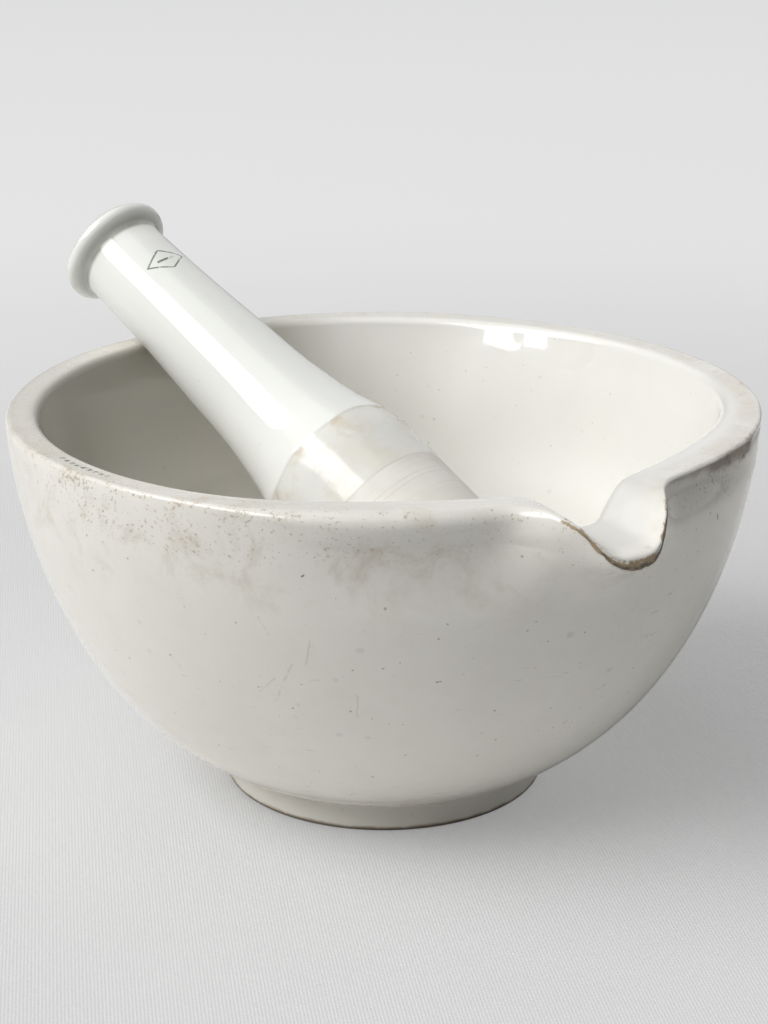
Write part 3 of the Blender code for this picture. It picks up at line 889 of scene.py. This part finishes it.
def paint_handling(net, field):
    """A grey-brown bloom under the rim at the front left, scuffs above the foot."""
    section, level, outside = field.section, field.level, field.outside
    under = net.mul(net.bell(section, centre=-15.0, width=17.0),
                    net.ramp(field.front, start=0.55, end=0.98), outside)
    field.bloom = net.mul(net.ramp(field.grime, start=0.46, end=0.70), under)
    net.paint(field.bloom, rgb=(0.44, 0.37, 0.27), amount=0.42)
    base = net.mul(net.ramp(level, start=34.0, end=12.0),
                   net.ramp(level, start=8.5, end=10.5), outside)
    dashes = net.noise(scale=1.0, detail=3.0, rough=0.6,
                       at=net.scaled_coords(x=150.0, y=150.0, z=620.0))
    field.scuff = net.mul(net.ramp(dashes, start=0.53, end=0.66), base,
                          net.ramp(field.patch, start=0.36, end=0.56))
    net.paint(field.scuff, rgb=(0.40, 0.30, 0.19), amount=0.62)
    scatter = net.mul(net.ramp(dashes, start=0.63, end=0.72), outside,
                      net.ramp(field.grime, start=0.48, end=0.62),
                      net.ramp(section, start=-30.0, end=-45.0))
    net.paint(scatter, rgb=(0.36, 0.31, 0.23), amount=0.36)


def paint_rim(net, field):
    """Rusty flecks caught along the rim's outer edge, beige wear and streaks on its top."""
    section, grime, wear = field.section, field.grime, field.wear
    edge = net.mul(net.top(net.bell(section, centre=-1.0, width=3.2),
                           net.mul(net.bell(section, centre=-9.0, width=8.0), amount=0.50)), wear)
    caught = net.mul(edge, net.ramp(grime, start=0.40, end=0.60), amount=0.150)
    rust = net.ramp(net.sum(field.fleck, caught), start=0.615, end=0.690)
    field.rust = net.mul(rust, net.ramp(edge, start=0.02, end=0.25))
    brown = net.mix(net.ramp(field.patch, start=0.46, end=0.60),
                    low=(0.33, 0.27, 0.170), high=(0.42, 0.27, 0.15))
    net.paint(field.rust, rgb=brown, amount=0.62)
    field.rim_top = net.bell(section, centre=4.6, width=4.2)
    field.top_wear = net.mul(
        field.rim_top,
        net.ramp(net.sum(grime, net.mul(wear, amount=0.10)), start=0.50, end=0.68),
        net.ramp(wear, start=0.1, end=0.9, first=0.25))
    net.paint(field.top_wear, rgb=(0.58, 0.50, 0.40), amount=0.34)
    streaks = net.noise(scale=1.0, detail=3.0, rough=0.6,
                        at=net.scaled_coords(x=420.0, y=420.0, z=90.0))
    streak = net.mul(field.rim_top, net.ramp(streaks, start=0.56, end=0.70),
                     net.ramp(wear, start=0.2, end=0.9, first=0.15))
    net.paint(streak, rgb=(0.45, 0.36, 0.26), amount=0.30)


def paint_undercut(net, field):
    """Painted shade and dark dirt in the hollow under the rim to the right of the lip."""
    section, grime = field.section, field.grime
    hollow = net.mul(net.bell(section, centre=-3.9, width=3.2), field.right)
    # painted shade: the hollow is darkened evenly, standing in for the shadow under the rim's
    # overhang
    net.paint(hollow, rgb=(0.215, 0.190, 0.155), amount=0.60)
    dirt = net.ramp(net.sum(grime, net.mul(hollow, amount=0.20)), start=0.54, end=0.74)
    field.dirt = net.mul(dirt, net.ramp(hollow, start=0.05, end=0.5))
    net.paint(field.dirt, rgb=(0.20, 0.155, 0.110), amount=0.72)
    end = net.mul(net.bell(field.turn, centre=44.0, width=13.0),
                  net.bell(section, centre=-5.0, width=6.0))
    blotch = net.mul(net.ramp(net.sum(grime, net.mul(end, amount=0.12)), start=0.60, end=0.68),
                     net.ramp(end, start=0.1, end=0.5))
    net.paint(blotch, rgb=(0.19, 0.145, 0.100), amount=0.55)


def paint_lip(net, field):
    """The lip's edge is worn through to brown biscuit."""
    biscuit = net.noise(scale=230.0, detail=5.0, rough=0.65)
    seam = net.sum(field.section, net.swing(field.patch, amount=3.0))
    band = net.mul(net.top(net.bell(seam, centre=-0.5, width=1.20),
                           net.mul(net.bell(seam, centre=0.9, width=1.6), amount=0.55)), field.lip)
    bare = net.ramp(net.sum(band, net.swing(biscuit, amount=1.9)), start=0.50, end=0.66)
    field.bare = net.mul(bare, net.ramp(band, start=0.10, end=0.35))
    black = net.sum(net.mul(net.bell(seam, centre=-0.9, width=1.0), amount=0.20),
                    net.ramp(field.turn, start=-5.5, end=0.5, first=-0.14, last=0.06))
    stain = net.mix(net.ramp(net.sub(biscuit, black), start=0.30, end=0.52),
                    low=(0.070, 0.045, 0.024), high=(0.36, 0.26, 0.140))
    net.paint(field.bare, rgb=stain, amount=0.90)


def paint_foot(net, field):
    """Dark line in the joint, painted light on the foot's side, brown bare edge on the bench, bare
    underside.
    """
    level, outside = field.level, field.outside
    joint = net.mul(net.bell(level, centre=8.9, width=0.55), outside)
    net.paint(joint, rgb=(0.28, 0.24, 0.17), amount=0.42)
    # painted light: the foot's side is made paler, standing in for light falling on it
    side = net.mul(net.ramp(level, start=9.4, end=8.6), outside)
    net.paint(side, rgb=(0.87, 0.840, 0.765), amount=0.70)
    uneven = net.swing(net.noise(scale=160.0, detail=3.0, rough=0.6), amount=1.6)
    field.ring = net.mul(net.ramp(net.sum(level, uneven), start=2.1, end=0.9), outside)
    brown = net.mix(net.ramp(level, start=0.7, end=1.7),
                    low=(0.060, 0.042, 0.026), high=(0.36, 0.26, 0.155))
    net.paint(field.ring, rgb=brown, amount=0.85)
    ledge = net.mul(net.bell(level, centre=10.1, width=0.45), outside)
    net.paint(ledge, rgb=(0.88, 0.87, 0.83), amount=0.60)
    field.bottom = net.mul(net.ramp(field.section, start=-190.0, end=-201.0), outside)
    net.paint(field.bottom, rgb=(0.58, 0.53, 0.45), amount=0.65)


def paint_marks(net, field):
    """Single dark marks, soft grey spots and scratches."""
    field.marks = strokes(net, [(start, end, width * DARK_NARROWING)
                                for start, end, width in DARK_MARKS], field.shaken)
    net.paint(field.marks, rgb=(0.115, 0.080, 0.050), amount=0.85)
    spots = strokes(net, [(at, (at[0] + GREY_SPOT_SPAN, at[1]), width)
                          for at, width in GREY_SPOTS], net.coords)
    net.paint(spots, rgb=(0.35, 0.38, 0.38), amount=0.22)
    hair = strokes(net, [(*ends, SCRATCH_WIDTH) for ends in SCRATCHES], field.shaken)
    broken = net.ramp(net.noise(scale=300.0, detail=2.0, rough=0.6), start=0.34, end=0.52)
    field.hair = net.mul(hair, broken)
    net.paint(field.hair, rgb=(0.28, 0.24, 0.18), amount=0.30)


def paint_ticks(net, field):
    """A row of short faded green ticks on the rim, to the left of the lip."""
    step = net.abs(net.sub(net.math("FRACT", net.mul(field.turn, 1 / TICK_PITCH)), 0.5))
    tick = net.mul(
        net.ramp(step, start=0.34, end=0.20),
        net.ramp(net.abs(net.sub(field.turn, TICK_ROW_AZIMUTH)), start=6.4, end=5.9),
        net.ramp(net.abs(net.sub(field.section, 5.2)), start=1.15, end=0.75),
        net.ramp(field.fleck, start=0.36, end=0.50))
    net.paint(tick, rgb=(0.060, 0.125, 0.060), amount=0.90)


def mortar_roughness(net, field):
    def left():
        return net.ramp(field.turn, start=0.0, end=-12.0)

    inner_corner = net.bell(field.section, centre=10.5, width=2.6)
    return net.roughness(
        0.050, (net.ramp(field.cloud, start=0.40, end=0.70), 0.035), (field.bloom, 0.22),
        (field.scuff, 0.20), (field.bare, 0.55), (field.ring, 0.5), (field.bottom, 0.5),
        (field.low, 0.22), (field.hair, 0.30), (field.rust, 0.4), (field.marks, 0.4),
        (field.top_wear, 0.06), (net.mul(field.rim_top, left()), 0.20), (field.dirt, 0.35),
        (net.mul(inner_corner, left()), 0.25))


def mortar_relief(net, field):
    """Height in metres: slow unevenness, fine grain, and the broken edge of the lip."""
    edge = net.bell(field.section, centre=-0.4, width=1.8)
    return net.sum(
        net.swing(net.noise(scale=34.0, detail=1.0), amount=0.00020),
        net.swing(net.noise(scale=260.0, detail=1.0), amount=0.0000090),
        net.swing(net.noise(scale=300.0, rough=0.6), field.lip, edge, amount=0.00045))


def mortar_material():
    material = bpy.data.materials.new("mortar_glaze_worn")
    net = Net(material)
    field = mortar_fields(net)
    for paint in (paint_mortar_glaze, paint_mortar_specks, paint_handling, paint_rim,
                  paint_undercut, paint_lip, paint_foot, paint_marks, paint_ticks):
        paint(net, field)
    net.finish(mortar_roughness(net, field), mortar_relief(net, field))
    return material


# --------------------------------------------------------- pestle material
GLAZE_END_MM, HEAD_START_MM = GLAZE_END * 1000, HEAD_START * 1000
# the printed lozenge: azimuth on the pestle, then mm along, surface radius, half sizes
LOZENGE_AZIMUTH = -80.0
LOZENGE_ALONG = 30.3
LOZENGE_SURFACE_RADIUS = 17.6
LOZENGE_HALF_WIDTH = 8.4
LOZENGE_HALF_HEIGHT = 5.4


def pestle_fields(net):
    field = SimpleNamespace(along=net.attribute("along"), across=net.attribute("across"))
    uneven = net.swing(net.noise(scale=70.0, detail=3.0, rough=0.6), amount=1.6)
    field.line = net.sum(field.along, uneven)
    field.below = net.ramp(field.line, start=GLAZE_END_MM - 0.3, end=GLAZE_END_MM + 0.5)
    field.head = net.ramp(net.sum(field.along, net.mul(uneven, amount=0.15)),
                          start=HEAD_START_MM - 0.25, end=HEAD_START_MM + 0.25)
    field.band = net.mul(field.below, net.sub(1.0, field.head))
    field.cloud = net.noise(scale=20.0, detail=3.0, rough=0.55)
    field.blot = net.noise(scale=110.0, detail=5.0, rough=0.68, distortion=0.5)
    field.large = net.noise(scale=48.0, detail=3.0, rough=0.6)
    return field


def paint_pestle_parts(net, field):
    """Handle: glaze; band: thin, stained glaze; head: matt, turned, greyed by grinding."""
    net.colour = net.mix(net.ramp(field.cloud, start=0.35, end=0.68),
                         low=(0.805, 0.815, 0.775), high=(0.835, 0.843, 0.806))
    thin = net.mix(net.ramp(field.large, start=0.38, end=0.64),
                   low=(0.755, 0.755, 0.720), high=(0.715, 0.695, 0.625))
    net.paint(field.below, rgb=thin)
    matt = net.mix(net.ramp(net.noise(scale=45.0, detail=4.0, rough=0.6), start=0.35, end=0.70),
                   low=(0.69, 0.665, 0.605), high=(0.77, 0.755, 0.71))
    net.paint(field.head, rgb=matt)


def paint_glaze_line(net, field):
    """Tan stains gathered in patches along the glaze line, fading down the band."""
    line = field.line
    at_line = net.top(
        net.bell(line, centre=GLAZE_END_MM + 1.4, width=2.2),
        net.mul(net.bell(field.along, centre=GLAZE_END_MM + 8.0, width=9.0), amount=0.55))
    gathered = net.mul(at_line, net.ramp(field.large, start=0.40, end=0.62), amount=0.15)
    field.stain = net.mul(net.ramp(net.sum(field.blot, gathered), start=0.555, end=0.70),
                          field.below, at_line)
    net.paint(field.stain, rgb=(0.52, 0.40, 0.255), amount=0.50)
    field.rusty = net.mul(net.dots(scale=190.0, small=0.0005, large=0.0012, share=0.16),
                          net.bell(line, centre=GLAZE_END_MM + 1.8, width=2.4))
    net.paint(field.rusty, rgb=(0.45, 0.24, 0.11), amount=0.70)
    smeared = net.noise(scale=85.0, detail=5.0, rough=0.65)
    field.smear = net.mul(net.ramp(smeared, start=0.50, end=0.75),
                          net.mul(field.band, amount=0.40))
    net.paint(field.smear, rgb=(0.50, 0.445, 0.355))
    net.paint(net.bell(line, centre=GLAZE_END_MM - 0.8, width=0.8),
              rgb=(0.83, 0.83, 0.80), amount=0.35)


def paint_head(net, field):
    """Turning lines round the head, and wear towards its nose."""
    field.turned = net.noise(scale=1.0, detail=4.0, rough=0.7,
                             at=net.scaled_coords(x=6.0, y=6.0, z=900.0))
    gate = net.ramp(net.noise(scale=28.0, detail=3.0, rough=0.6), start=0.36, end=0.62)
    cut = net.mul(net.ramp(field.turned, start=0.54, end=0.68), field.head, gate)
    net.paint(cut, rgb=(0.44, 0.37, 0.28), amount=0.58)
    worn = net.mul(net.ramp(field.along, start=205.0, end=240.0), field.head)
    net.paint(worn, rgb=(0.60, 0.565, 0.50), amount=0.35)


def paint_pestle_specks(net, field):
    field.specks = net.dots(scale=170.0, small=0.00018, large=0.00045, share=0.45)
    net.paint(field.specks, rgb=(0.30, 0.25, 0.18), amount=0.45)
    spots = net.dots(scale=90.0, small=0.0006, large=0.0012, share=0.30)
    net.paint(spots, rgb=(0.34, 0.39, 0.38), amount=0.20)


def paint_knob(net, field):
    """Bare flat end, a thin rusty line where the glaze starts again, painted shade over the neck
    and grime in its crease.
    """
    along = field.along
    end_line = net.sum(
        along, net.swing(net.noise(scale=150.0, detail=3.0, rough=0.6), amount=0.5),
        net.ramp(field.across, start=18.0, end=15.0, last=-2.0))
    field.bare = net.ramp(end_line, start=0.95, end=0.55)
    net.paint(field.bare, rgb=(0.66, 0.62, 0.55), amount=0.8)
    trace = net.mul(net.bell(end_line, centre=0.95, width=0.30),
                    net.ramp(net.noise(scale=110.0, detail=3.0, rough=0.6), start=0.40, end=0.60))
    net.paint(trace, rgb=(0.55, 0.36, 0.17), amount=0.75)
    # painted shade over the neck and the collar's underside
    shade = net.mul(net.ramp(along, start=5.2, end=7.2), net.ramp(along, start=10.2, end=8.6))
    net.paint(shade, rgb=(0.37, 0.385, 0.355), amount=0.62)
    # brown grime in the neck's crease, also deepened as painted shade
    root = net.mul(net.bell(along, centre=8.4, width=0.8),
                   net.ramp(field.blot, start=0.35, end=0.60, first=0.30))
    net.paint(root, rgb=(0.27, 0.23, 0.155), amount=0.55)


def paint_lozenge(net, field):
    """A plain printed lozenge with a bar in it, faded green."""
    x, y = net.split_xy()
    angle = net.math("ARCTAN2", y, x)
    u = net.mul(net.sub(angle, math.radians(LOZENGE_AZIMUTH)), LOZENGE_SURFACE_RADIUS)
    v = net.sub(field.along, LOZENGE_ALONG)
    shape = net.sum(net.abs(net.mul(u, 1 / LOZENGE_HALF_WIDTH)),
                    net.abs(net.mul(v, 1 / LOZENGE_HALF_HEIGHT)))
    outline = net.ramp(net.abs(net.sub(shape, 1.0)), start=0.105, end=0.045)
    bar = net.mul(net.ramp(net.abs(v), start=0.62, end=0.42),
                  net.ramp(net.abs(u), start=4.1, end=3.7))
    faded = net.ramp(net.noise(scale=420.0, detail=3.0, rough=0.7), start=0.34, end=0.48)
    ink = net.mul(net.top(outline, bar), faded, net.ramp(net.abs(v), start=6.0, end=5.0),
                  net.ramp(net.abs(u), start=11.0, end=10.0))
    net.paint(ink, rgb=(0.085, 0.125, 0.090), amount=0.85)


def pestle_material():
    material = bpy.data.materials.new("pestle_glaze_worn")
    net = Net(material)
    field = pestle_fields(net)
    for paint in (paint_pestle_parts, paint_glaze_line, paint_head, paint_pestle_specks,
                  paint_knob, paint_lozenge):
        paint(net, field)
    rough = net.roughness(
        0.030, (net.ramp(field.cloud, start=0.40, end=0.70), 0.025), (field.band, 0.10),
        (field.head, 0.50), (field.stain, 0.30), (field.bare, 0.5), (field.smear, 0.4),
        (field.rusty, 0.3), (field.specks, 0.10))
    height = net.sum(
        net.swing(net.noise(scale=45.0, detail=1.0), amount=0.00010),
        net.swing(net.noise(scale=300.0, detail=1.0), amount=0.000007),
        net.swing(field.turned, amount=net.mul(field.head, 0.00009)),
        net.swing(net.noise(scale=150.0, detail=1.0), amount=net.mul(field.band, 0.00004)))
    net.finish(rough, height)
    return material


# ------------------------------------------------------------------- stage
# directions across the cloth's ribs (x, y), spacing in metres, weight in the weave
WEAVE_RIBS = ((0.26, 0.97, 0.00115, 0.7), (-0.93, 0.37, 0.0011, 0.45))
FLOOR_RINGS = 40
FLOOR_COLUMNS = 96
FLOOR_DROP = 0.0002         # below the bench height, clear of the foot

# azimuth, elevation, cosine where it starts, cosine where it is full, radiance
WORLD_LOBES = {
    "all": (0, 90, -1.01, -1.0, 0.01),
    "back_right": (20, 12, 0.60, 0.95, 0.96),
    "front_right": (-75, 15, 0.60, 0.95, 0.15),
}
LIGHT_AIM = Vector((0, 0, 0.10))

CAMERA_AZIMUTH = -120.0
CAMERA_DISTANCE = 5.6794 * RIM_RADIUS
CAMERA_HEIGHT = 2.6459 * RIM_RADIUS
CAMERA_PITCH = 0.3236       # radians below the horizon
CAMERA_SENSOR = 36.0        # mm
CAMERA_LENS = 77.34375      # mm


def floor_material():
    material = bpy.data.materials.new("pale_cloth")
    net = Net(material, turned=False)
    x, y = net.split_xy()
    far = net.math("SQRT", net.sum(net.mul(x, x), net.mul(y, y)))
    near = net.ramp(far, start=0.75, end=0.25)
    ribs = []
    for along_x, along_y, spacing, weight in WEAVE_RIBS:
        distance = net.sum(net.mul(x, along_x), net.mul(y, along_y))
        ribs.append(net.mul(net.math("SINE", net.mul(distance, 2 * math.pi / spacing)), weight))
    weave = net.mul(net.sum(*ribs), near)
    mottle = net.noise(scale=9.0, detail=2.0, rough=0.6)
    net.colour = net.mix(net.ramp(mottle, start=0.3, end=0.7),
                         low=(0.745, 0.745, 0.748), high=(0.770, 0.770, 0.773))
    net.paint(net.ramp(far, start=0.3, end=1.6), rgb=(0.87, 0.87, 0.875))
    net.paint(net.ramp(weave, start=-1.0, end=1.0, last=0.27), rgb=(0.56, 0.56, 0.565))
    # to the camera part of its brightness is a painted glow, so that the cast shadow stays light;
    # the pieces see plain cloth with painted shade, dark towards the camera and far out on the left
    camera = net.add("ShaderNodeLightPath").outputs["Is Camera Ray"]
    net.paint(net.ramp(far, start=0.26, end=1.05, first=0.400, last=0.86), rgb=(0.0, 0.0, 0.0))
    ahead = net.sum(net.mul(x, -0.5), net.mul(y, -0.866))
    away = net.top(net.ramp(ahead, start=0.30, end=0.48),
                   net.mul(net.ramp(x, start=-0.45, end=-0.95), amount=0.75))
    plain = net.mix(away, low=(0.795, 0.79, 0.78), high=(0.05, 0.05, 0.05))
    net.colour = net.mix(camera, low=plain, high=net.colour)
    bsdf = net.finish(0.92, net.mul(weave, amount=0.00009), specular=0.1)
    net.put((0.995, 0.995, 1.0), bsdf.inputs["Emission Color"])
    # the painted glow, seen only by the camera
    glow = net.ramp(far, start=0.26, end=1.05, first=0.250, last=0.680)
    net.put(net.mul(glow, camera), bsdf.inputs["Emission Strength"])
    return material


def build_floor():
    """A disc of rings that widen outwards."""
    turn = np.linspace(0, 2 * math.pi, FLOOR_COLUMNS, endpoint=False)
    verts = [(0.0, 0.0, 0.0)]
    for r in np.geomspace(0.05, 14.0, FLOOR_RINGS):
        verts += [(r * math.cos(t), r * math.sin(t), 0.0) for t in turn]
    pairs = [(j, (j + 1) % FLOOR_COLUMNS) for j in range(FLOOR_COLUMNS)]
    faces = [(0, 1 + j, 1 + after) for j, after in pairs]
    for i in range(FLOOR_RINGS - 1):
        near = 1 + i * FLOOR_COLUMNS
        far = near + FLOOR_COLUMNS
        faces += [(near + j, far + j, far + after, near + after) for j, after in pairs]
    mesh = bpy.data.meshes.new("floor")
    mesh.from_pydata(verts, [], faces)
    mesh.shade_smooth()
    floor = add_object("floor", mesh)
    floor.location.z = -FLOOR_DROP
    mesh.materials.append(floor_material())


def direction(azimuth, elevation):
    a, e = math.radians(azimuth), math.radians(elevation)
    return Vector((math.cos(e) * math.cos(a), math.cos(e) * math.sin(a), math.sin(e)))


def add_softbox(name, azimuth, elevation, distance, width, height, power):
    light = bpy.data.lights.new(name, "AREA")
    light.shape = "RECTANGLE"
    light.size, light.size_y = width, height
    light.energy = power
    obj = add_object(name, light)
    obj.location = LIGHT_AIM + direction(azimuth, elevation) * distance
    obj.rotation_euler = (LIGHT_AIM - obj.location).to_track_quat("-Z", "Y").to_euler()


def build_world():
    """A nearly dark studio with a strong glow on the right and a faint one in front."""
    world = bpy.data.worlds.new("studio")
    bpy.context.scene.world = world
    world.use_nodes = True
    nodes, link = world.node_tree.nodes, world.node_tree.links.new
    nodes.clear()
    coords = nodes.new("ShaderNodeTexCoord")
    background = nodes.new("ShaderNodeBackground")
    output = nodes.new("ShaderNodeOutputWorld")
    link(background.outputs[0], output.inputs["Surface"])

    def add_lobe(name, azimuth, elevation, start, full, radiance):
        dot = nodes.new("ShaderNodeVectorMath")
        dot.operation = "DOT_PRODUCT"
        link(coords.outputs["Generated"], dot.inputs[0])
        dot.inputs[1].default_value = direction(azimuth, elevation)
        lobe = nodes.new("ShaderNodeMapRange")
        lobe.interpolation_type = "SMOOTHSTEP"
        for socket, value in zip(lobe.inputs[1:5], (start, full, 0.0, radiance)):
            socket.default_value = value
        lobe.name = "lobe_" + name
        link(dot.outputs["Value"], lobe.inputs[0])
        return lobe.outputs[0]

    def add_up(first, second):
        node = nodes.new("ShaderNodeMath")
        node.operation = "ADD"
        link(first, node.inputs[0])
        link(second, node.inputs[1])
        return node.outputs[0]

    total = reduce(add_up, [add_lobe(name, *lobe) for name, lobe in WORLD_LOBES.items()])
    # the camera itself sees an even pale tone above the floor's far edge
    path = nodes.new("ShaderNodeLightPath")
    pale = nodes.new("ShaderNodeMix")
    pale.data_type = "FLOAT"
    pale.inputs[3].default_value = 0.76
    link(path.outputs["Is Camera Ray"], pale.inputs[0])
    link(total, pale.inputs[2])
    link(pale.outputs[0], background.inputs["Strength"])
    background.inputs["Color"].default_value = (0.985, 0.99, 1.0, 1.0)


def build_camera():
    data = bpy.data.cameras.new("camera")
    camera = add_object("camera", data)
    azimuth = math.radians(CAMERA_AZIMUTH)
    camera.location = (CAMERA_DISTANCE * math.cos(azimuth), CAMERA_DISTANCE * math.sin(azimuth),
                       CAMERA_HEIGHT)
    camera.rotation_euler = (math.pi / 2 - CAMERA_PITCH, 0.0, math.radians(CAMERA_AZIMUTH + 90))
    data.sensor_fit = "VERTICAL"
    data.sensor_width = data.sensor_height = CAMERA_SENSOR
    data.lens = CAMERA_LENS
    bpy.context.scene.camera = camera


def main():
    mortar = build_mortar()
    mortar.data.materials.append(mortar_material())
    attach(mortar, "mortar")
    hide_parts("mortar")

    pestle = build_pestle()
    pestle.data.materials.append(pestle_material())
    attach(pestle, "pestle")
    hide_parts("pestle")

    build_floor()
    build_world()
    add_softbox("key", azimuth=178.0, elevation=43.0, distance=3.5,
                width=2.95, height=2.05, power=121.0)
    add_softbox("ceiling", azimuth=175.0, elevation=66.0, distance=3.2,
                width=5.0, height=3.4, power=52.0)
    build_camera()
    bpy.context.scene.view_settings.view_transform = "Standard"


main()
